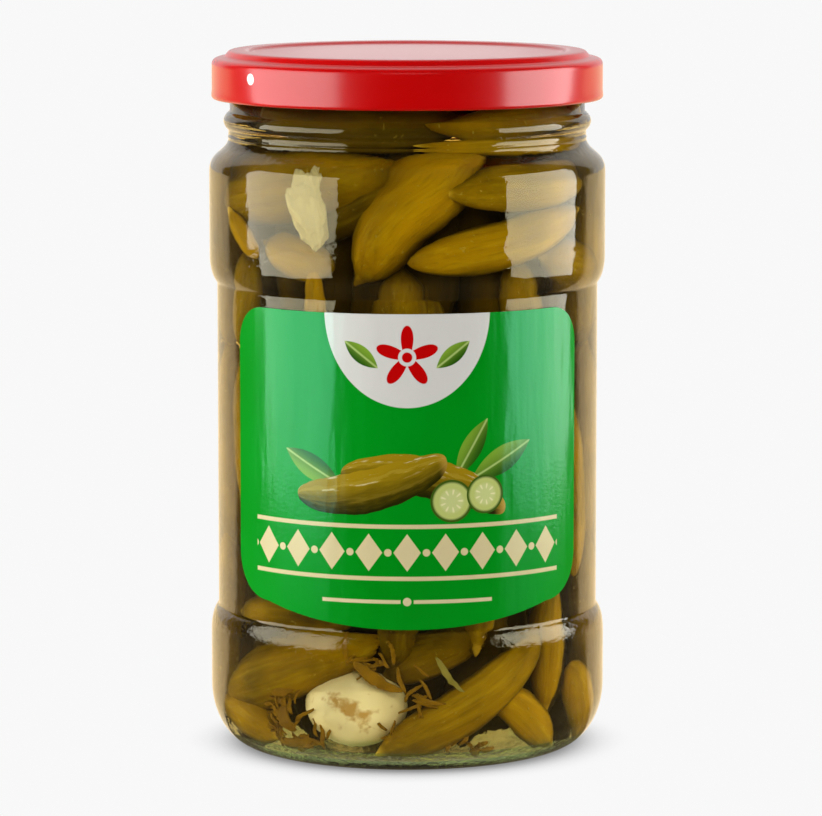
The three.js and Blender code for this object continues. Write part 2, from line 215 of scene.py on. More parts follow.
# Rows of standing gherkins: low, high, first and last azimuth, thickness, extra depth
STANDING_ROWS = [
    (6, 48, 90, 268, 12.5, 0),
    (41, 88, 66, 296, 12, 0),
    (85, 131, 88, 268, 12.5, 0),
]
HIDDEN_ROWS = [
    (7, 50, 9, 351, 13, 9.5),
    (46, 92, 60, 300, 13, 9.5),
    (88, 134, 9, 351, 13, 9.5),
]
STANDING_STEP = 21.0
STANDING_LEAN = 9.0
STANDING_SHIFT = 4.0
STANDING_BOW = 2.0
STANDING_SIZES = (0.85, 1.1)
STANDING_DEPTHS = (0, 1.5)
STANDING_TONES = (0.15, 0.8)
SIDE_SHADE = 0.5

# Garlic: azimuth, height and distance from the axis, then half sizes across, deep and tall
GARLIC_BULB = (-19, 13.7, 31.2, 10.5, 8.2, 7.9)
GARLIC_CLOVE = (-32, 120.6, 37.0, 4.1, 2.4, 7.1)
CLOVE_LEAN = -14.0
BULB_TINTS = ((0.97, 0.86, 0.48), (1.0, 0.95, 0.66))
# The clove's tints are the bulb's darkened: painted shade for the clove, which lies deeper
TORN_TINTS = ((0.46, 0.40, 0.19), (0.74, 0.67, 0.38))
SCAR_BROWN = (0.50, 0.27, 0.03)
CREASE_BROWN = (0.62, 0.48, 0.14)

# Herb shreds: both ends, then width
HERB_SHREDS = {
    "herb_shred_1": ((-47, 16.3), (-34, 19.4), 2.6),
    "herb_shred_2": ((-38, 8.4), (-42.7, 14.8), 3.0),
    "herb_shred_3": ((-17, 23.2), (-1, 18.8), 2.8),
    "herb_shred_4": ((-46, 6.8), (-29, 5.6), 1.8),
    "herb_shred_5": ((-3.5, 5.8), (-7.8, 8.4), 2.0),
    "herb_twig": ((2.5, 17), (12, 15.2), 1.0),
    "herb_stem": ((8.8, 25.2), (18, 17.5), 1.4),
}
HERB_TINTS = ((0.12, 0.058, 0.002), (0.36, 0.20, 0.007))
STEM_TINTS = ((0.18, 0.16, 0.025), (0.36, 0.32, 0.08))
HERB_THICKNESS = 0.8
HERB_WAVE = 0.5
HERB_BIT_LENGTHS = (2.2, 6.0)
HERB_BIT_WIDTHS = (0.35, 1.1)
HERB_BIT_DEPTHS = (-0.3, 1.2)
# Patches of small shreds: middle, half spread in degrees and millimetres, count
HERB_PATCHES = [
    (-43, 12.5, 7, 5.5, 20),
    (-36, 6.5, 9, 1.4, 14),
    (-12, 23.4, 9, 1.4, 15),
    (3, 18.5, 5, 3, 11),
    (-2, 8.5, 4.5, 3.5, 9),
    (20, 6, 11, 0.8, 9),
]


def mix(a, b, share):
    return a + (b - a) * share


def place(azimuth, distance, height):
    """A position in metres at an azimuth from the front in degrees, and two distances in millimetres."""
    angle = math.radians(azimuth)
    return Vector((distance * math.sin(angle), -distance * math.cos(angle), height)) * MM


def curve(*points, steps):
    """Points along the Bezier curve of three or four control points."""
    path = []
    for i in range(steps + 1):
        left = points
        while len(left) > 1:
            left = [tuple(mix(p, q, i / steps) for p, q in zip(a, b)) for a, b in zip(left, left[1:])]
        path.append(left[0])
    return path


def ellipse(centre, radii, start, end, steps):
    angles = [math.radians(mix(start, end, i / steps)) for i in range(steps + 1)]
    return [(centre[0] + radii[0] * math.cos(a), centre[1] + radii[1] * math.sin(a)) for a in angles]


def cleaned(outline):
    """An outline without repeated points."""
    kept = [outline[0]]
    for point in outline[1:]:
        if math.dist(point, kept[-1]) > 0.001:
            kept.append(point)
    return kept


def outside_of_glass():
    """Radius and height from the middle of the base, round the bearing ring and up to the lip."""
    path = [(0, PUSH_UP), (BEARING_INNER - 6, PUSH_UP * 0.8)]
    path += curve(
        (BEARING_INNER - 3, PUSH_UP * 0.62), (BEARING_INNER - 0.6, 0.75), (BEARING_INNER, 0.08), steps=5)
    path += [(BEARING_INNER + 0.3, 0), (BEARING_OUTER, 0)]
    heel = BULGE_RADIUS - BEARING_OUTER
    path += ellipse((BEARING_OUTER, HEEL_TOP), (heel, HEEL_TOP), -90, 0, 24)
    path += curve(
        (BULGE_RADIUS, PANEL_BOTTOM - STEP_RISE), (BULGE_RADIUS - 0.1, PANEL_BOTTOM - 1.6),
        (PANEL_RADIUS, PANEL_BOTTOM), steps=10)
    path += [(PANEL_RADIUS, PANEL_BOTTOM + rise) for rise in (EDGE_RING, 1.5, 6)]
    path += [(PANEL_RADIUS, PANEL_TOP - fall) for fall in (6, 1.5, EDGE_RING)]
    path += curve(
        (PANEL_RADIUS, PANEL_TOP), (BULGE_RADIUS - 0.1, PANEL_TOP + 1.8),
        (BULGE_RADIUS, PANEL_TOP + STEP_RISE), steps=10)
    path += curve(
        (BULGE_RADIUS, SHOULDER_BOTTOM), (BULGE_RADIUS, SHOULDER_BOTTOM + 4.2),
        (NECK_RADIUS + 0.3, SHOULDER_BOTTOM + 4.0), (NECK_RADIUS, NECK_BOTTOM), steps=18)
    path += [(NECK_RADIUS + 0.14, NECK_BOTTOM + 0.1), (NECK_RADIUS + 0.14, NECK_BOTTOM + 0.35)]
    path += [(NECK_RADIUS, NECK_BOTTOM + 0.5)]
    path += curve(
        (NECK_RADIUS, BEAD_MIDDLE - BEAD_HALF), (2 * BEAD_RADIUS - NECK_RADIUS, BEAD_MIDDLE),
        (FINISH_RADIUS, BEAD_MIDDLE + BEAD_HALF), steps=14)
    path += [(FINISH_RADIUS, LIP_TOP - 1)]
    path += curve(
        (FINISH_RADIUS, LIP_TOP - 0.9), (FINISH_RADIUS - 0.2, LIP_TOP),
        (FINISH_RADIUS - 1.2, LIP_TOP), steps=5)
    return path


def inside_of_glass(offset=0.0):
    """Radius and height from the lip down to the middle of the floor, moved outwards by an offset."""
    bulge = BULGE_RADIUS - WALL + offset
    panel = PANEL_RADIUS - WALL + offset
    mouth = MOUTH_RADIUS + offset
    floor = FLOOR_HEIGHT - offset
    path = [(mouth + 0.6, LIP_TOP), (mouth, LIP_TOP - 1), (mouth, BRINE_TOP), (mouth, NECK_BOTTOM + 0.6)]
    path += curve(
        (mouth, NECK_BOTTOM + 0.6), (mouth + 0.3, SHOULDER_BOTTOM + 4.2),
        (bulge, SHOULDER_BOTTOM + 3.4), (bulge, SHOULDER_BOTTOM - 1), steps=18)
    path += curve(
        (bulge, PANEL_TOP + STEP_RISE), (bulge, PANEL_TOP + 3), (panel, PANEL_TOP + 3),
        (panel, PANEL_TOP), steps=8)
    path += curve(
        (panel, PANEL_BOTTOM), (panel, PANEL_BOTTOM - 3), (bulge, PANEL_BOTTOM - 3),
        (bulge, PANEL_BOTTOM - STEP_RISE), steps=8)
    path += ellipse((bulge - INNER_HEEL, HEEL_TOP), (INNER_HEEL, HEEL_TOP - floor + 0.8), 0, -90, 20)
    path += [(0, floor)]
    return path


def wall_radius(height):
    """Inner radius of the glass at a height, in millimetres."""
    radius = MOUTH_RADIUS
    for upper, lower in zip(INSIDE, INSIDE[1:]):
        if lower[1] <= height <= upper[1] and upper[1] > lower[1]:
            radius = mix(lower[0], upper[0], (height - lower[1]) / (upper[1] - lower[1]))
    return radius


INSIDE = inside_of_glass()


def add_object(name, data):
    made = bpy.data.objects.new(name, data)
    bpy.context.scene.collection.objects.link(made)
    return made


def join_parts(parts):
    """One bmesh from many, which it frees."""
    joined = bmesh.new()
    single = bpy.data.meshes.new("single")
    for bm in parts:
        bm.to_mesh(single)
        bm.free()
        joined.from_mesh(single)
    bpy.data.meshes.remove(single)
    return joined


def finish_mesh(bm, name, material, node=None, slot=None, crisp=False):
    """Makes a bmesh into a piece that rides on the jar, and may stand for a CAD node."""
    mesh = bpy.data.meshes.new(name)
    bmesh.ops.recalc_face_normals(bm, faces=bm.faces)
    for face in bm.faces:
        face.smooth = True
    for edge in bm.edges:
        if crisp and edge.calc_face_angle(0.0) > CRISP_ANGLE:
            edge.smooth = False
    bm.to_mesh(mesh)
    bm.free()
    piece = add_object(name, mesh)
    mesh.materials.append(material)
    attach(piece, "root")
    if node:
        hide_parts(node)
    return piece


def spin_outline(outline, segments):
    """A bmesh turned about the jar's axis from an outline of radius and height in millimetres."""
    bm = bmesh.new()
    verts = [bm.verts.new(place(0, radius, height)) for radius, height in cleaned(outline)]
    edges = [bm.edges.new(pair) for pair in zip(verts, verts[1:])]
    bmesh.ops.spin(
        bm, geom=verts + edges, cent=(0, 0, 0), axis=(0, 0, 1), dvec=(0, 0, 0),
        angle=math.tau, steps=segments, use_merge=True)
    bmesh.ops.remove_doubles(bm, verts=bm.verts, dist=1e-6)
    return bm


class Field:
    """A value, colour or vector inside a material. Arithmetic on values adds Math nodes."""

    def __init__(self, maker, socket):
        self.maker = maker
        self.socket = socket

    def __add__(self, other):
        return self.maker.math("ADD", self, other)

    __radd__ = __add__

    def __sub__(self, other):
        return self.maker.math("SUBTRACT", self, other)

    def __rsub__(self, other):
        return self.maker.math("SUBTRACT", other, self)

    def __mul__(self, other):
        return self.maker.math("MULTIPLY", self, other)

    __rmul__ = __mul__

    def __truediv__(self, other):
        return self.maker.math("DIVIDE", self, other)

    def __pow__(self, other):
        return self.maker.math("POWER", self, other)


class Finish:
    """A material or world under construction."""

    def __init__(self, name, data=None):
        self.data = data or bpy.data.materials.new(name)
        self.data.use_nodes = True
        self.tree = self.data.node_tree
        self.tree.nodes.clear()

    def node(self, kind, settings=None, inputs=None, output=0):
        """Any node: its settings first, then the values or links of its sockets."""
        made = self.tree.nodes.new(kind)
        for key, value in (settings or {}).items():
            setattr(made, key, value)
        for key, value in (inputs or {}).items():
            if isinstance(value, Field):
                self.tree.links.new(value.socket, made.inputs[key])
            else:
                made.inputs[key].default_value = value
        return Field(self, made.outputs[output]) if made.outputs else made

    def math(self, operation, *values, clamp=False):
        settings = {"operation": operation, "use_clamp": clamp}
        return self.node("ShaderNodeMath", settings, dict(enumerate(values)))

    def clamp01(self, value):
        return self.math("ADD", value, 0.0, clamp=True)

    def absolute(self, value):
        return self.math("ABSOLUTE", value)

    def larger(self, a, b):
        return self.math("MAXIMUM", a, b)

    def smaller(self, a, b):
        return self.math("MINIMUM", a, b)

    def length(self, x, y):
        return self.math("SQRT", x * x + y * y)

    def smooth_step(self, value, low, high):
        inputs = {"Value": value, "From Min": low, "From Max": high}
        return self.node("ShaderNodeMapRange", {"interpolation_type": "SMOOTHSTEP"}, inputs)

    def blend(self, factor, a, b):
        inputs = {0: factor, 6: self.colour(a), 7: self.colour(b)}
        return self.node("ShaderNodeMix", {"data_type": "RGBA"}, inputs, output=2)

    @staticmethod
    def colour(value):
        return value if isinstance(value, Field) else (*value, 1.0)

    def position(self):
        return self.node("ShaderNodeTexCoord", output=3)

    def attribute(self, name, output=1):
        return self.node("ShaderNodeAttribute", {"attribute_name": name}, output=output)

    def ray(self, kind):
        """1 for rays of a kind, such as Camera, and 0 for others."""
        return self.node("ShaderNodeLightPath", output=f"Is {kind} Ray")

    def split(self, vector):
        made = self.tree.nodes.new("ShaderNodeSeparateXYZ")
        self.tree.links.new(vector.socket, made.inputs[0])
        return [Field(self, socket) for socket in made.outputs]

    def joined(self, x, y, z):
        return self.node("ShaderNodeCombineXYZ", None, {0: x, 1: y, 2: z})

    def vectors(self, operation, a, b, output=0):
        return self.node("ShaderNodeVectorMath", {"operation": operation}, {0: a, 1: b}, output)

    def stretch(self, vector, scale):
        return self.vectors("MULTIPLY", vector, scale)

    def noise(self, vector, scale, detail=3.0, roughness=0.5):
        inputs = {"Vector": vector, "Scale": scale, "Detail": detail, "Roughness": roughness}
        return self.node("ShaderNodeTexNoise", None, inputs)

    def bump(self, height, distance, strength=1.0):
        inputs = {"Height": height, "Distance": distance, "Strength": strength}
        return self.node("ShaderNodeBump", None, inputs)

    def principled(self, **sockets):
        names = {key.replace("_", " ").title().replace("Ior", "IOR"): value for key, value in sockets.items()}
        return self.node("ShaderNodeBsdfPrincipled", None, names)

    def surface(self, shader, volume=None):
        inputs = {"Surface": shader}
        if volume:
            inputs["Volume"] = volume
        self.node("ShaderNodeOutputMaterial", None, inputs)
        return self.data

    def let_lamps_through(self, shader, tint):
        """Shadow rays pass, so that lamps light what lies behind the glass."""
        shadow_ray = self.ray("Shadow")
        passing = self.node("ShaderNodeBsdfTransparent", None, {"Color": (*tint, 1.0)})
        return self.node("ShaderNodeMixShader", None, {0: shadow_ray, 1: shader, 2: passing})


def glass_finish(name, reflection, tint, stipple=0.0, roughness=0.02):
    """Jar glass with slow waves in its surface, fine ripples, and stippling where the mould was rough."""
    f = Finish(name)
    position = f.position()
    z = f.split(position)[2]
    step = 1 - f.smooth_step(f.absolute(z - (PANEL_BOTTOM - 2.0) * MM), 0.0012, 0.0028)
    neck = 1 - f.smooth_step(f.absolute(z - (NECK_BOTTOM - 1.9) * MM), 0.0006, 0.0014)
    rough_mould = 0.06 + 1.0 * step + 0.6 * neck + stipple
    waves = f.noise(position, 60.0, 2.0) + 0.22 * f.noise(position, 420.0, 2.0)
    ripples = rough_mould * f.noise(f.stretch(position, (600.0, 600.0, 1100.0)), 1.0, 3.0)
    shader = f.principled(
        base_color=(*tint, 1), roughness=roughness, ior=GLASS_IOR, transmission_weight=1.0,
        specular_tint=(*reflection, 1), normal=f.bump(waves + ripples, 0.00028, 0.6))
    return f.surface(f.let_lamps_through(shader, (1.0, 1.0, 0.98)))


def brine_finish():
    f = Finish("brine")
    shader = f.principled(
        base_color=(1, 1, 1, 1), roughness=0.0, ior=BRINE_IOR, transmission_weight=1.0,
        specular_tint=(*WET_REFLECTION, 1))
    absorbed = {"Color": (*BRINE_COLOUR, 1), "Density": BRINE_DENSITY}
    absorption = f.node("ShaderNodeVolumeAbsorption", None, absorbed)
    return f.surface(f.let_lamps_through(shader, (1, 1, 1)), absorption)


def gherkin_finish():
    """Olive or golden skin, streaked and specked, with painted shade deep down and at its edges, and a pale
    tip.
    """
    f = Finish("gherkin skin")
    skin = f.attribute("skin")
    tone = f.attribute("tone", output=2)
    patches = f.noise(skin, 75.0, 3.0)
    streaks = f.noise(f.stretch(skin, (520.0, 520.0, 34.0)), 1.0, 4.0, 0.65)
    fine_streaks = f.noise(f.stretch(skin, (1500.0, 1500.0, 120.0)), 1.0, 2.0)
    golden = f.clamp01(tone + 1.5 * (patches - 0.5))
    flesh = f.blend(golden, *FLESH_TONES)
    pale = f.blend(golden, *STREAK_TONES)
    streaked = f.blend(0.55 * f.smooth_step(streaks, 0.40, 0.76), flesh, pale)
    lined = f.blend(0.30 * f.smooth_step(fine_streaks, 0.50, 0.80), streaked, DARK_LINE)
    specks = f.smooth_step(f.noise(skin, 1100.0, 2.0), 0.66, 0.74)
    speckled = f.blend(0.55 * specks, lined, PALE_SPECK)
    tip = f.smooth_step(f.attribute("tip", output=2), 0.0, 0.9)
    sunk = f.attribute("sunk", output=2) + 3.0 * (patches - 0.5)
    # Painted shade: the skin darkens the deeper it lies behind the wall
    deep = f.blend(f.smooth_step(sunk, 2.0, 12.0), speckled, DEEP_BROWN)
    # Painted shade: skin turned away from the eye darkens towards brown at the edges
    turned_away = f.node("ShaderNodeLayerWeight", None, {"Blend": 0.35}, output=1)
    edged = f.blend(0.7 * f.smooth_step(turned_away, 0.22, 0.8), deep, EDGE_BROWN)
    # The pale tip fades out under the painted depth shade
    colour = f.blend(0.85 * tip * (1 - f.smooth_step(sunk, 3.0, 8.0)), edged, BLOSSOM_GOLD)
    relief = streaks + 0.3 * fine_streaks + 0.4 * specks
    return f.surface(f.principled(
        base_color=colour, roughness=0.5, specular_ior_level=0.02, normal=f.bump(relief, 0.0004, 0.7)))


def core_finish():
    f = Finish("heart of the heap in painted shade")
    cloud = f.noise(f.position(), 130.0, 3.0)
    # Near-black brown: painted shade that makes the gaps between the gherkins dark
    colour = f.blend(cloud, (0.012, 0.008, 0.0003), (0.050, 0.031, 0.001))
    return f.surface(f.principled(base_color=colour, roughness=0.7, specular_ior_level=0.0))


def garlic_finish(name, dark, light):
    """Pale flesh with a faint cloud, and on the bulb's front a spotty brown root scar and a crease."""
    f = Finish(name)
    position = f.position()
    cloud = f.noise(position, 160.0, 3.0)
    fine = f.noise(position, 700.0, 3.0)
    pale = f.blend(cloud, dark, light)
    scar = place(GARLIC_BULB[0] + 1.0, GARLIC_BULB[2] + GARLIC_BULB[4], GARLIC_BULB[1] + 0.4)
    x, _, z = f.split(f.vectors("SUBTRACT", position, scar))
    slant = z + 0.45 * x
    near = 1 - f.smooth_step(f.length(0.55 * x, 0.85 * slant), 0.0004, 0.0046)
    spotty = f.noise(position, 400.0, 3.0, 0.6)
    mark = f.smooth_step(near * 0.62 + 1.7 * (spotty - 0.5), 0.24, 0.70)
    stray = f.smooth_step(f.noise(position, 900.0, 1.0), 0.74, 0.80)
    creased = f.clamp01(1 - f.absolute(slant + 0.0016) / 0.00016) * f.smooth_step(x, 0.0018, 0.0030)
    stained = f.blend(f.clamp01(0.85 * mark + 0.5 * stray), pale, SCAR_BROWN)
    colour = f.blend(0.3 * creased, stained, CREASE_BROWN)
    return f.surface(f.principled(
        base_color=colour, roughness=0.4, specular_ior_level=0.05, normal=f.bump(fine, 0.00012, 0.5)))


def herb_finish(name, dark, light):
    f = Finish(name)
    position = f.position()
    veins = f.noise(f.stretch(position, (900.0, 900.0, 300.0)), 1.0, 3.0)
    colour = f.blend(f.noise(position, 260.0, 3.0), dark, light)
    return f.surface(f.principled(
        base_color=colour, roughness=0.5, specular_ior_level=0.05, normal=f.bump(veins, 0.0001, 0.6)))


def lid_finish():
    """Red lacquer under a clear coat, with a plain white dot on the skirt."""
    f = Finish("red lacquer")
    position = f.position()
    dot = place(DOT_AZIMUTH, LID_RADIUS, DOT_HEIGHT)
    away = f.vectors("DISTANCE", position, dot, output=1)
    mark = 1 - f.smooth_step(away, (DOT_RADIUS - DOT_SOFTNESS) * MM, DOT_RADIUS * MM)
    cloud = f.noise(position, 35.0, 2.0)
    red = f.blend(cloud, (0.53, 0.0, 0.0003), (0.58, 0.0, 0.0006))
    colour = f.blend(mark, red, (0.9, 0.9, 0.88))
    dust = f.smooth_step(f.noise(position, 1500.0, 1.0), 0.76, 0.80)
    ripple = f.noise(position, 300.0, 2.0)
    return f.surface(f.principled(
        base_color=colour, roughness=0.4, specular_ior_level=0.05, coat_weight=0.85, coat_roughness=0.2,
        normal=f.bump(0.12 * ripple + dust, 0.00004, 0.5)))


def disc(f, x, y, centre, radius):
    """Distance in millimetres outside a disc."""
    return f.length(x - centre[0], y - centre[1]) - radius


def inked(f, distance, soft=0.12):
    """1 inside a printed shape, with a thin soft edge."""
    return f.clamp01(0.5 - distance / soft)


def along_and_across(x, y, centre, turn):
    """Distances along and across a drawn shape that is turned by some degrees."""
    c, s = math.cos(math.radians(turn)), math.sin(math.radians(turn))
    along = (x - centre[0]) * c + (y - centre[1]) * s
    across = (y - centre[1]) * c - (x - centre[0]) * s
    return along, across


def printed_gherkin(f, x, y, centre, half, turn, bend, colour_below):
    """A drawn gherkin: a lumpy bent capsule, shaded, ribbed along, with lights and a pale tip."""
    along, across = along_and_across(x, y, centre, turn)
    bent = across + along * along * bend
    reach = along / half[0]
    lumps = f.noise(f.joined(reach * 2.6, bent * 0.12, centre[0]), 1.0)
    width = half[1] * f.larger(1 - reach * reach, 0.0) ** 0.40 * (0.8 + 0.4 * lumps)
    height = bent / f.larger(width, 0.2)
    body = inked(f, f.larger(f.absolute(bent) - width, f.absolute(along) - half[0]))
    wrinkle = f.noise(f.joined(along * 0.10, height * 2.4, centre[1]), 2.2, 4.0)
    lit = f.smooth_step(height + 0.9 * (wrinkle - 0.5), -1.0, 0.9)
    olive = f.blend(lit, (0.016, 0.016, 0.001), (0.34, 0.22, 0.006))
    rib = f.smooth_step(f.math("COSINE", height * 8.0 + 5.0 * wrinkle), 0.6, 1.0)
    ribbed = f.blend(0.4 * rib * lit, olive, (0.50, 0.36, 0.04))
    shine = f.smooth_step(wrinkle, 0.60, 0.70) * f.smooth_step(height, 0.0, 0.5)
    shiny = f.blend(0.55 * shine, ribbed, (0.85, 0.78, 0.5))
    tipped = f.blend(0.7 * f.smooth_step(reach, 0.86, 1.0), shiny, (0.55, 0.33, 0.05))
    return f.blend(body, colour_below, tipped)


def printed_slice(f, x, y, centre, radius, colour_below):
    """A drawn gherkin slice: dark rind, pale flesh and a ring of seeds."""
    dx, dy = x - centre[0], y - centre[1]
    distance = f.length(dx, dy)
    around = f.math("ARCTAN2", dy, dx)
    rind = f.blend(inked(f, distance - radius), colour_below, (0.045, 0.10, 0.008))
    flesh = f.blend(inked(f, distance - radius * 0.86, 0.5), rind, (0.50, 0.56, 0.16))
    heart = f.blend(0.7 * inked(f, distance - radius * 0.55, 0.8), flesh, (0.60, 0.64, 0.28))
    spokes = f.smooth_step(f.math("COSINE", around * 9.0), 0.35, 0.9)
    ring = inked(f, f.absolute(distance - radius * 0.42) - radius * 0.12, 0.4)
    return f.blend(0.8 * spokes * ring, heart, (0.80, 0.76, 0.42))


def printed_leaf(f, x, y, centre, half, turn, colour_below):
    """A drawn leaf: two arcs that meet in points, with a light vein."""
    along, across = along_and_across(x, y, centre, turn)
    reach = along / half[0]
    edge = f.absolute(across) - half[1] * (1 - reach * reach)
    leaf = inked(f, f.larger(edge, f.absolute(along) - half[0]))
    shaded = f.blend(f.smooth_step(across / half[1], -1.0, 1.0), (0.02, 0.09, 0.004), (0.20, 0.36, 0.03))
    veined = f.blend(inked(f, f.absolute(across) - 0.18, 0.3), shaded, (0.42, 0.55, 0.16))
    return f.blend(leaf, colour_below, veined)


def print_tab(f, x, y, colour):
    """Ivory lunette at the top with a red five-petalled blossom between two leaves."""
    lunette = disc(f, x, y * 0.87, (0, LABEL_TOP * 0.87 + 0.6), 18.0)
    colour = f.blend(inked(f, lunette), colour, PRINT_IVORY)
    for side in (-1, 1):
        colour = printed_leaf(f, x, y, (9.8 * side, 91.0), (4.6, 1.8), 38 * side, colour)
    up = y - BLOSSOM_HEIGHT
    petal_reach = 4.3 + 2.5 * f.math("COSINE", 5.0 * f.math("ARCTAN2", x, up))
    colour = f.blend(inked(f, f.length(x, up) - petal_reach, 0.2), colour, PRINT_RED)
    colour = f.blend(inked(f, disc(f, x, y, (0, BLOSSOM_HEIGHT), 1.9)), colour, PRINT_IVORY)
    return f.blend(inked(f, disc(f, x, y, (0, BLOSSOM_HEIGHT), 1.1)), colour, PRINT_RED)


def print_frieze(f, x, y, colour):
    """Cream lozenges and dots in a row between two cream lines."""
    pitch = 8.2
    step = x / pitch
    to_lozenge = f.absolute(step - f.math("ROUND", step)) * pitch
    to_dot = pitch / 2 - to_lozenge
    up = f.absolute(y - FRIEZE_HEIGHT)
    row = f.absolute(x) - 4.45 * pitch
    lozenge = to_lozenge * 0.86 + up * 0.62 - 2.5
    dot = f.length(to_dot, up) - 0.8
    motif = f.larger(f.smaller(lozenge, dot), row)
    colour = f.blend(inked(f, motif), colour, PRINT_CREAM)
    lines = f.larger(f.absolute(up - 5.6) - 0.45, row)
    return f.blend(inked(f, lines), colour, PRINT_CREAM)


def print_foot(f, x, y, colour):
    """Two cream bars with a dot between them."""
    bar_middle = 10.0
    bar_half = 8.6
    off_bar = f.absolute(f.absolute(x) - bar_middle) - bar_half
    foot = f.larger(off_bar, f.absolute(y - FOOT_LINE_HEIGHT) - 0.4)
    colour = f.blend(inked(f, foot), colour, PRINT_PALE_CREAM)
    return f.blend(inked(f, disc(f, x, y, (0, FOOT_LINE_HEIGHT), 0.9)), colour, PRINT_PALE_CREAM)


def print_picture(f, x, y, colour):
    """Gherkins crossing between leaves, with slices in front."""
    leaves = (((-21, 66.5), (7.5, 2.6), 152), ((21, 68.0), (8.0, 2.8), 28), ((14, 71.0), (7.0, 2.3), 60))
    for centre, half, turn in leaves:
        colour = printed_leaf(f, x, y, centre, half, turn, colour)
    colour = printed_gherkin(f, x, y, (4.5, 64.8), (18.5, 4.3), -13.0, 0.010, colour)
    colour = printed_gherkin(f, x, y, (-7.5, 62.0), (17.0, 4.6), 14.0, -0.008, colour)
    for centre, radius in (((9.5, 59.6), 4.6), ((17.0, 60.8), 4.2)):
        colour = printed_slice(f, x, y, centre, radius, colour)
    return colour


def label_finish():
    """Glossy green paper with a plain generic print: a lunette, gherkins, a frieze and a foot line."""
    f = Finish("label paper")
    x, y, _ = f.split(f.attribute("print"))
    position = f.position()
    mottle = f.noise(position, 55.0, 3.0)
    colour = f.blend(mottle, *PRINT_GREENS)
    for printed in (print_tab, print_picture, print_frieze, print_foot):
        colour = printed(f, x, y, colour)
    cockle = f.noise(f.stretch(position, (110.0, 110.0, 16.0)), 1.0, 3.0)
    grain = f.noise(position, 1400.0, 2.0)
    return f.surface(f.principled(
        base_color=colour, roughness=0.17, specular_ior_level=0.40, specular_tint=(0.3, 1.0, 0.75, 1),
        normal=f.bump(cockle + 0.03 * grain, 0.0012, 0.5)))


def make_glass(*finishes):
    """The jar as one solid of revolution, with finishes for its outside, wet inside, base and inner floor."""
    bm = spin_outline(outside_of_glass() + inside_of_glass(), GLASS_SEGMENTS)
    for face in bm.faces:
        middle = face.calc_center_median() / MM
        in_wall = middle.xy.length < wall_radius(middle.z) + WALL / 2
        inner = in_wall and middle.z > (FLOOR_HEIGHT + PUSH_UP) / 2
        if inner and middle.z < FLOOR_HEIGHT + FLOOR_BAND:
            face.material_index = 3
        elif inner and middle.z < BRINE_TOP:
            face.material_index = 1
        elif middle.z < BASE_BAND:
            face.material_index = 2
    glass = finish_mesh(bm, "jar_glass", finishes[0], "glass_jar", "glass")
    for finish in finishes[1:]:
        glass.data.materials.append(finish)


def make_brine(material):
    under_surface = [point for point in inside_of_glass(BRINE_OVERLAP) if point[1] <= BRINE_TOP]
    bm = spin_outline([(0, BRINE_TOP)] + under_surface, GLASS_SEGMENTS)
    finish_mesh(bm, "brine", material)


def lid_outline():
    ring_under = LID_TOP - LID_SHEET
    panel_top = LID_TOP - PANEL_DROP
    inner = LID_RADIUS - LID_SHEET
    curl = (LID_RADIUS - 0.65, LID_BOTTOM + 0.75)
    path = [(0, panel_top - LID_SHEET), (RING_INNER - 1.2, panel_top - LID_SHEET)]
    path += [(RING_INNER, ring_under), (RING_OUTER - 0.8, ring_under)]
    path += [(RING_OUTER + 1, LID_SHOULDER + 0.6), (inner, LID_SHOULDER - 0.3)]
    path += [(inner, LID_BOTTOM + CURL_SIZE)]
    path += ellipse(curl, (0.75, 0.75), 150, 360, 14)
    path += [(LID_RADIUS + 0.08, LID_BOTTOM + CURL_SIZE * 0.8), (LID_RADIUS, LID_BOTTOM + CURL_SIZE * 1.4)]
    path += [(LID_RADIUS, LID_SHOULDER - 0.4)]
    path += curve(
        (LID_RADIUS, LID_SHOULDER), (LID_RADIUS, LID_SHOULDER + 1.4),
        (LID_RADIUS - 2.2, LID_SHOULDER + 1.5), steps=8)
    path += curve(
        (RING_OUTER + 0.9, LID_SHOULDER + 1.55), (RING_OUTER + 0.3, LID_SHOULDER + 1.6),
        (RING_OUTER + 0.1, LID_SHOULDER + 2.1), steps=4)
    path += curve(
        (RING_OUTER - 0.2, LID_TOP - 0.6), (RING_OUTER - 0.5, LID_TOP), (RING_OUTER - 1.6, LID_TOP), steps=6)
    path += curve(
        (RING_INNER + 1.2, LID_TOP), (RING_INNER, LID_TOP), (RING_INNER - 0.4, LID_TOP - 0.6), steps=6)
    path += curve(
        (RING_INNER - 0.6, panel_top + 0.25), (RING_INNER - 0.8, panel_top),
        (RING_INNER - 1.5, panel_top), steps=4)
    shares = (0.8, 0.6, 0.4, 0.2, 0)
    path += [(RING_INNER * share, panel_top + PANEL_DOME * (1 - share ** 2)) for share in shares]
    return path


def make_lid(material):
    bm = spin_outline(lid_outline(), LID_SEGMENTS)
    for vert in bm.verts:
        height = vert.co.z / MM
        if height < LID_BOTTOM + 2 * CURL_SIZE:
            azimuth = math.atan2(vert.co.x, -vert.co.y)
            fall = min(1.0, (LID_BOTTOM + 2 * CURL_SIZE - height) / CURL_SIZE)
            dent = LUG_DENT * fall * max(0.0, math.cos(LUG_COUNT * azimuth)) ** 2
            vert.co.xy *= 1 - dent / LID_RADIUS
    finish_mesh(bm, "lid_pressing", material, "lid", "red_lacquer")


def label_top(along):
    over = max(0.0, abs(along) - (LABEL_HALF_WIDTH - LABEL_TOP_CORNER))
    return LABEL_TOP - LABEL_TOP_CORNER + math.sqrt(max(0.0, LABEL_TOP_CORNER ** 2 - over ** 2))


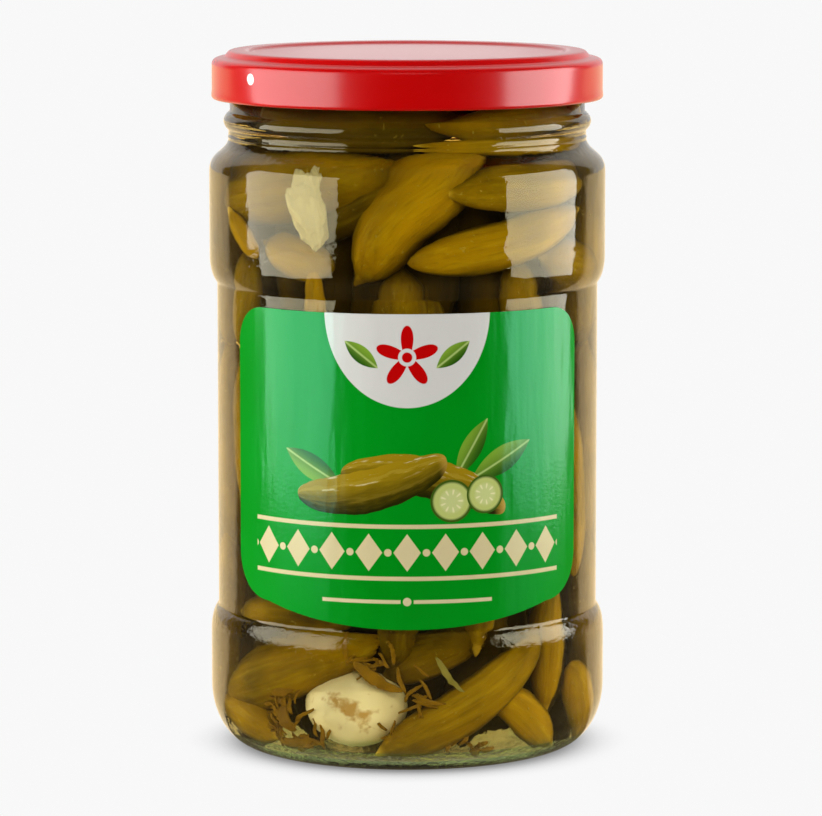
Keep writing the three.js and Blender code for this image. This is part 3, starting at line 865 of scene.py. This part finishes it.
def label_bottom(along):
    corner_start = LABEL_HALF_WIDTH - LABEL_LOW_CORNER
    sag = min(abs(along), corner_start)
    over = max(0.0, abs(along) - corner_start)
    low = LABEL_BOTTOM + LABEL_SAG_RADIUS - math.sqrt(LABEL_SAG_RADIUS ** 2 - sag ** 2)
    return low + LABEL_LOW_CORNER - math.sqrt(max(0.0, LABEL_LOW_CORNER ** 2 - over ** 2))


def make_label(material):
    """A thin sheet wrapped on the panel. Its print attribute holds millimetres along and up."""
    bm = bmesh.new()
    bmesh.ops.create_grid(bm, x_segments=120, y_segments=24, size=1.0)
    print_layer = bm.verts.layers.float_vector.new("print")
    radius = PANEL_RADIUS + LABEL_GAP
    for vert in bm.verts:
        along = LABEL_HALF_WIDTH * (1.5 * vert.co.x - 0.5 * vert.co.x ** 3)
        height = mix(label_bottom(along), label_top(along), (vert.co.y + 1) / 2)
        vert[print_layer] = (along, height, 0)
        vert.co = place(math.degrees(along / radius), radius, height)
    bmesh.ops.recalc_face_normals(bm, faces=bm.faces)
    outward = sum((face.normal.dot(face.calc_center_median()) for face in bm.faces), 0.0)
    if outward < 0:
        bmesh.ops.reverse_faces(bm, faces=bm.faces)
    bmesh.ops.solidify(bm, geom=bm.faces[:], thickness=-LABEL_THICKNESS * MM)
    finish_mesh(bm, "paper_label", material, "label", "label_paper", crisp=True)


def taper(share, belly):
    """Half thickness of a gherkin of unit thickness at a share of its length, most at its belly."""
    even = share ** (math.log(0.5) / math.log(belly))
    return 0.5 * max(0.0, 1 - abs(2 * even - 1) ** 2.5) ** 0.62


def keep_inside(point):
    """Keeps a point, in metres, inside the glass and above its floor."""
    point.z = max(point.z, (FLOOR_HEIGHT + FLOOR_CLEARANCE) * MM)
    distance = point.xy.length / MM
    limit = wall_radius(point.z / MM) - CLEARANCE
    if distance > limit:
        point.xy *= limit / distance
    return point


def bend_gherkin(bm, layers, number, stalk, blossom, thick, bow, depth, tilt, belly, tone, shade):
    """Shapes a unit ball into one gherkin, bent along the wall from its stalk end to its blossom end."""
    skin_layer, tone_layer, tip_layer, sunk_layer = layers
    middle = wall_radius(mix(stalk[1], blossom[1], 0.5)) - CLEARANCE - thick / 2 - depth
    across = math.radians(blossom[0] - stalk[0]) * middle
    rise = blossom[1] - stalk[1]
    length = math.hypot(across, rise)
    seed = Vector((number * 7.3, number * 3.1, number * 1.7))
    for vert in bm.verts:
        share = min(1.0, max(0.0, 0.5 + vert.co.z))
        turn = math.atan2(vert.co.y, vert.co.x)
        on_axis = vert.co.xy.length < 1e-5
        ribs = 1 + 0.020 * math.cos(7 * turn + number) + 0.014 * math.cos(3 * turn + 2 * number)
        lumps = 1 + 0.10 * noise.noise(Vector((math.cos(turn), math.sin(turn), share * 4)) + seed)
        knob_place = Vector((2.5 * math.cos(turn), 2.5 * math.sin(turn), share * 16))
        knobs = 1 + 0.030 * noise.noise(knob_place + seed)
        radius = 0 if on_axis else thick * taper(share, belly) * ribs * lumps * knobs
        out, side = radius * math.cos(turn), radius * math.sin(turn)
        vert[skin_layer] = (Vector((out, side, share * length)) + seed * 10) * MM
        vert[tone_layer] = tone
        vert[tip_layer] = max(0.0, 1 - math.hypot(radius, (1 - share) * length) / TIP_REACH)
        nub = BLOSSOM_NUB * math.exp(-(radius / NUB_RADIUS) ** 2) if share > 0.5 else 0
        reach = share + nub / length
        lift = bow * math.sin(math.pi * share) + side
        along = across * reach - lift * rise / length
        height = stalk[1] + rise * reach + lift * across / length
        azimuth = stalk[0] + math.degrees(along / middle)
        sink = tilt * (share - 0.5)
        vert.co = keep_inside(place(azimuth, middle + out - sink, height))
        # Depth behind the wall, scaled by shade, drives the painted shade of the skin
        sunk = wall_radius(vert.co.z / MM) - vert.co.xy.length / MM
        vert[sunk_layer] = sunk * shade


def standing_gherkins(rows):
    """Leaning by a slow wave round the jar, with sizes and tones drawn by the golden ratio."""
    pieces = []
    for low, high, first, last, row_thick, extra in rows:
        count = int((last - first) // STANDING_STEP)
        for i in range(count + 1):
            draw = ((len(pieces) + 1) * GOLDEN_STEP) % 1
            tone = ((len(pieces) + 1) * GOLDEN_STEP * 3.7) % 1
            azimuth = mix(first, last, i / count)
            lean = STANDING_LEAN * math.sin(math.radians(3 * azimuth + high))
            shift = mix(-STANDING_SHIFT, STANDING_SHIFT, draw)
            thick = row_thick * mix(*STANDING_SIZES, draw)
            pieces.append(gherkin(
                (azimuth - lean, low + shift), (azimuth + lean, high + shift), thick,
                bow=mix(-STANDING_BOW, STANDING_BOW, draw), depth=extra + mix(*STANDING_DEPTHS, draw),
                tone=mix(*STANDING_TONES, tone), shade=1.0 if extra else SIDE_SHADE))
    return pieces


def shaped_gherkins(specs, around, rings, first_number):
    """Each gherkin of a list as a bmesh of its own, bent from a copy of one ball."""
    ball = bmesh.new()
    bmesh.ops.create_uvsphere(ball, u_segments=around, v_segments=rings, radius=0.5)
    ball.verts.layers.float_vector.new("skin")
    for name in ("tone", "tip", "sunk"):
        ball.verts.layers.float.new(name)
    for number, spec in enumerate(specs, first_number):
        bm = ball.copy()
        values = bm.verts.layers.float
        layers = (bm.verts.layers.float_vector["skin"], values["tone"], values["tip"], values["sunk"])
        bend_gherkin(bm, layers, number, **spec)
        yield bm
    ball.free()


def make_gherkins(material):
    """The gherkins that show as one piece, and a coarser second layer behind them."""
    shown = shaped_gherkins(FRONT_GHERKINS + standing_gherkins(STANDING_ROWS), 24, 36, 1)
    finish_mesh(join_parts(shown), "gherkins", material, "pickles", "gherkin_skin")
    hidden = shaped_gherkins(standing_gherkins(HIDDEN_ROWS), 14, 18, 101)
    finish_mesh(join_parts(hidden), "gherkins_behind", material, slot="gherkin_skin")


def make_core(material):
    """A lumpy post in the middle of the heap, which closes the view between the gherkins with its near-black
    painted shade.
    """
    outline = [(0, CORE_BOTTOM), (CORE_RADIUS - 3, CORE_BOTTOM)]
    outline += [(CORE_RADIUS, mix(CORE_BOTTOM + 3, CORE_TOP - 5, i / 60)) for i in range(61)]
    outline += [(CORE_RADIUS - 3, CORE_TOP - 0.5), (0, CORE_TOP)]
    bm = spin_outline(outline, 72)
    for vert in bm.verts:
        push = CORE_LUMPS * noise.noise(vert.co * 110)
        distance = vert.co.xy.length
        if distance > 0.001:
            vert.co.xy *= 1 + push * MM / distance
    finish_mesh(bm, "heap_core", material, slot="gherkin_skin")


def make_garlic_piece(name, spec, lean, uneven, material, segments, torn=0.0):
    """A ball stretched to its sizes, made uneven or torn, leaning, and kept inside the wall."""
    azimuth, height, distance, wide, deep, tall = spec
    bm = bmesh.new()
    bmesh.ops.create_uvsphere(bm, u_segments=segments, v_segments=segments * 2 // 3, radius=1.0)
    centre = place(azimuth, distance, height)
    turned = Matrix.Rotation(math.radians(azimuth), 3, "Z") @ Matrix.Rotation(math.radians(lean), 3, "Y")
    for vert in bm.verts:
        x, y, z = vert.co
        swell = 1 + uneven * noise.noise(vert.co * 1.6) + 0.45 * uneven * noise.noise(vert.co * 4.0)
        swell += 0.25 * uneven * noise.noise(vert.co * 9.0)
        swell += torn * (noise.noise(vert.co * 3.1 + Vector((5, 2, 8))) + 0.6 * noise.noise(vert.co * 11.0))
        if torn:
            x, z = (math.copysign(abs(value) ** 0.8, value) for value in (x * (1 + 0.35 * z), z))
        local = Vector((x * wide, y * deep, z * tall)) * swell
        vert.co = keep_inside(centre + (turned @ local) * MM)
    finish_mesh(bm, name, material, name.replace("peeled_", ""), "garlic")


def make_garlic():
    bulb = garlic_finish("garlic bulb", *BULB_TINTS)
    # The clove's finish is a darker copy of the bulb's, as painted shade
    torn = garlic_finish("garlic clove in painted shade", *TORN_TINTS)
    make_garlic_piece("peeled_garlic_bulb", GARLIC_BULB, 0.0, 0.015, bulb, 72)
    make_garlic_piece("peeled_garlic_clove", GARLIC_CLOVE, CLOVE_LEAN, 0.30, torn, 90, torn=0.10)


def shred_mesh(spec, segments, sink=0.0):
    """A thin leaf-shaped strip laid along the wall, wavy through its thickness, as a bmesh."""
    start, end, width = spec
    ground = wall_radius((start[1] + end[1]) / 2) - CLEARANCE - HERB_THICKNESS - 2 * HERB_WAVE - sink
    across = math.radians(end[0] - start[0]) * ground
    rise = end[1] - start[1]
    length = math.hypot(across, rise)
    bm = bmesh.new()
    bmesh.ops.create_grid(bm, x_segments=segments, y_segments=6, size=0.5)
    for vert in bm.verts:
        share = vert.co.x + 0.5
        half = width * (0.12 + 0.38 * math.sin(math.pi * share ** 0.8))
        ragged = 1 + 0.45 * noise.noise(Vector((share * 9, 2 * vert.co.y + start[0], width)))
        side = 2 * vert.co.y * half * ragged + 0.35 * width * math.sin(4 * share + start[0])
        wave = HERB_WAVE * math.sin(math.tau * share) + 0.3 * vert.co.y
        along = across * share - side * rise / length
        height = start[1] + rise * share + side * across / length
        safe = min(ground, wall_radius(height) - CLEARANCE - HERB_THICKNESS - HERB_WAVE - sink)
        vert.co = place(start[0] + math.degrees(along / ground), safe + wave, height)
    bmesh.ops.recalc_face_normals(bm, faces=bm.faces)
    bmesh.ops.solidify(bm, geom=bm.faces[:], thickness=0.35 * MM)
    return bm


def herb_bits():
    """Small shreds scattered round the garlic bulb, with places and sizes drawn by the golden ratio."""
    number = 0
    for azimuth, height, spread, rise, count in HERB_PATCHES:
        for _ in range(count):
            number += 1
            draws = [(number * GOLDEN_STEP * step) % 1 for step in (1.0, 3.3, 7.1, 12.7, 17.9)]
            start = (azimuth + spread * (2 * draws[0] - 1), max(5.2, height + rise * (2 * draws[1] - 1)))
            turn = math.tau * draws[2]
            size = mix(*HERB_BIT_LENGTHS, draws[3])
            end = (start[0] + 1.5 * size * math.cos(turn), max(5.0, start[1] + size * math.sin(turn)))
            width = mix(*HERB_BIT_WIDTHS, draws[4])
            yield shred_mesh((start, end, width), 10, mix(*HERB_BIT_DEPTHS, draws[1]))


def make_herbs():
    leaf = herb_finish("herb leaf", *HERB_TINTS)
    stem = herb_finish("herb stem", *STEM_TINTS)
    for name, spec in HERB_SHREDS.items():
        slot, material = ("herb_stem", stem) if name == "herb_stem" else ("herb", leaf)
        finish_mesh(shred_mesh(spec, 28), name + "_leaf", material, name, slot)
    finish_mesh(join_parts(herb_bits()), "herb_bits", leaf, slot="herb")


def table_finish():
    """Flat white to the eye, with a painted contact shadow round the jar. To other rays it is bright near the
    jar and behind it.
    """
    f = Finish("white table")
    x, y, _ = f.split(f.position())
    open_sky = f.node("ShaderNodeAmbientOcclusion", {"samples": 12}, {"Distance": 0.018}, output=1)
    # Painted contact shadow: the white darkens where the jar closes off the open sky
    shaded = WHITE_LEVEL * f.clamp01(0.25 + 0.79 * f.smooth_step(open_sky, -0.08, 0.80))
    distance = f.length(x, y)
    back = (y + 0.025) / f.larger(distance, 0.001)
    through_glass = f.ray("Transmission")
    behind = f.larger(f.smooth_step(back, 0.54, 0.64), through_glass * f.smooth_step(back, 0.0, 0.3))
    reflected = f.ray("Reflection")
    close = (1 - f.smooth_step(distance, 0.20, 0.40)) * (0.5 - 0.42 * reflected)
    studio = 0.03 + 0.95 * f.larger(behind, close)
    camera_ray = f.ray("Camera")
    strength = camera_ray * shaded + (1 - camera_ray) * studio
    tint = f.blend(f.clamp01(reflected + through_glass), (1, 1, 1), GLASS_EDGE_GLOW)
    return f.surface(f.node("ShaderNodeEmission", None, {"Color": tint, "Strength": strength}))


def make_stage_floor(material):
    bm = bmesh.new()
    bmesh.ops.create_circle(bm, cap_ends=True, radius=FLOOR_RADIUS, segments=96)
    mesh = bpy.data.meshes.new("white_table")
    bm.to_mesh(mesh)
    bm.free()
    mesh.materials.append(material)
    floor = add_object("white_table", mesh)


def make_world():
    """Flat white to the eye. To other rays it is bright behind, most in a small patch, and dark in front."""
    world = bpy.data.worlds.new("studio")
    bpy.context.scene.world = world
    f = Finish("studio", world)
    x, y, z = f.split(f.node("ShaderNodeTexCoord", output=0))
    patch = f.smooth_step(z, 0.055, 0.065) * (1 - f.smooth_step(z, 0.095, 0.105))
    patch = patch * (1 - f.smooth_step(f.absolute(x), 0.022, 0.030))
    through_glass = f.ray("Transmission")
    wide = through_glass * f.smooth_step(y, -0.1, 0.2)
    lifted = y + 0.5 * f.larger(z - 0.15, 0.0)
    behind = f.larger(f.smooth_step(lifted, 0.69, 0.76) * (0.78 + 0.9 * patch), 0.9 * wide)
    reflected = f.ray("Reflection")
    above = 0.15 * f.smooth_step(z, 0.35, 0.95) * (1 - 0.8 * reflected)
    studio = 0.02 + behind + above
    camera_ray = f.ray("Camera")
    strength = camera_ray * WHITE_LEVEL + (1 - camera_ray) * studio
    background = f.node("ShaderNodeBackground", None, {"Color": (1, 1, 1, 1), "Strength": strength})
    f.node("ShaderNodeOutputWorld", None, {"Surface": background})


def add_lamp(name, azimuth, distance, width, low, high, radiance, reflected, aim_height=None):
    """A rectangular lamp facing the jar. It is either seen in reflections, or lights dull surfaces."""
    lamp = bpy.data.lights.new(name, "AREA")
    lamp.shape = "RECTANGLE"
    lamp.size = width
    lamp.size_y = high - low
    lamp.energy = radiance * math.pi * width * (high - low)
    box = add_object(name, lamp)
    centre = place(azimuth, distance / MM, (low + high) / 2 / MM)
    box.location = centre
    aim = Vector((0, 0, centre.z if aim_height is None else aim_height)) - centre
    box.rotation_euler = aim.to_track_quat("-Z", "Y").to_euler()
    box.visible_glossy = reflected
    box.visible_diffuse = not reflected
    box.visible_transmission = False
    box.visible_camera = False


def add_softbox(name, first, last, low, high, radiance, reflected):
    """A side lamp that spans two azimuths as seen from the jar's axis."""
    half = math.radians(abs(last - first) / 2)
    distance = SOFTBOX_DISTANCE + (0 if reflected else LAMP_SPACE)
    width = 2 * distance * math.tan(half)
    add_lamp(name, (first + last) / 2, distance, width, low, high, radiance, reflected)


def make_lights():
    """Side softboxes, with their reflections and light set apart, a fill and a top light."""
    for name, (first, last, low, high, radiance) in REFLECTED_SOFTBOXES.items():
        add_softbox(name, first, last, low, high, radiance, True)
    for name, (first, last) in SIDE_LIGHTS.items():
        add_softbox(name, first, last, SIDE_LIGHT_LOW, SIDE_LIGHT_HIGH, SIDE_LIGHT_RADIANCE, False)
    add_lamp(
        "fill_front", 0, distance=1.3, width=0.7, low=0.45, high=1.05, radiance=7.0,
        reflected=False, aim_height=0.1)
    add_lamp(
        "top_light", 180, distance=0.3, width=0.7, low=1.0, high=1.4, radiance=7.3,
        reflected=False, aim_height=0.15)


def make_camera():
    data = bpy.data.cameras.new("photo_camera")
    data.sensor_fit = "HORIZONTAL"
    data.sensor_width = SENSOR_WIDTH
    data.lens = CAMERA_LENS
    camera = add_object("photo_camera", data)
    camera.location = Vector((CAMERA_SIDE, -CAMERA_DISTANCE, CAMERA_HEIGHT)) * MM
    camera.rotation_euler = (math.radians(90 - CAMERA_PITCH), 0, 0)
    bpy.context.scene.camera = camera


def set_up_render():
    scene = bpy.context.scene
    scene.view_settings.view_transform = "Standard"
    scene.cycles.max_bounces = MAX_BOUNCES
    scene.cycles.transmission_bounces = TRANSMISSION_BOUNCES
    scene.cycles.transparent_max_bounces = MAX_BOUNCES


def main():
    make_camera()
    make_world()
    make_lights()
    make_stage_floor(table_finish())
    make_glass(
        glass_finish("jar glass", GLASS_REFLECTION, CLEAR_TINT),
        glass_finish("wet inner wall", WET_REFLECTION, CLEAR_TINT),
        glass_finish("thick base glass", GLASS_REFLECTION, BASE_TINT, stipple=0.08, roughness=0.04),
        glass_finish("stippled floor", WET_REFLECTION, BASE_TINT, stipple=0.7, roughness=0.10))
    make_brine(brine_finish())
    make_lid(lid_finish())
    make_label(label_finish())
    make_gherkins(gherkin_finish())
    make_core(core_finish())
    make_garlic()
    make_herbs()
    set_up_render()


main()
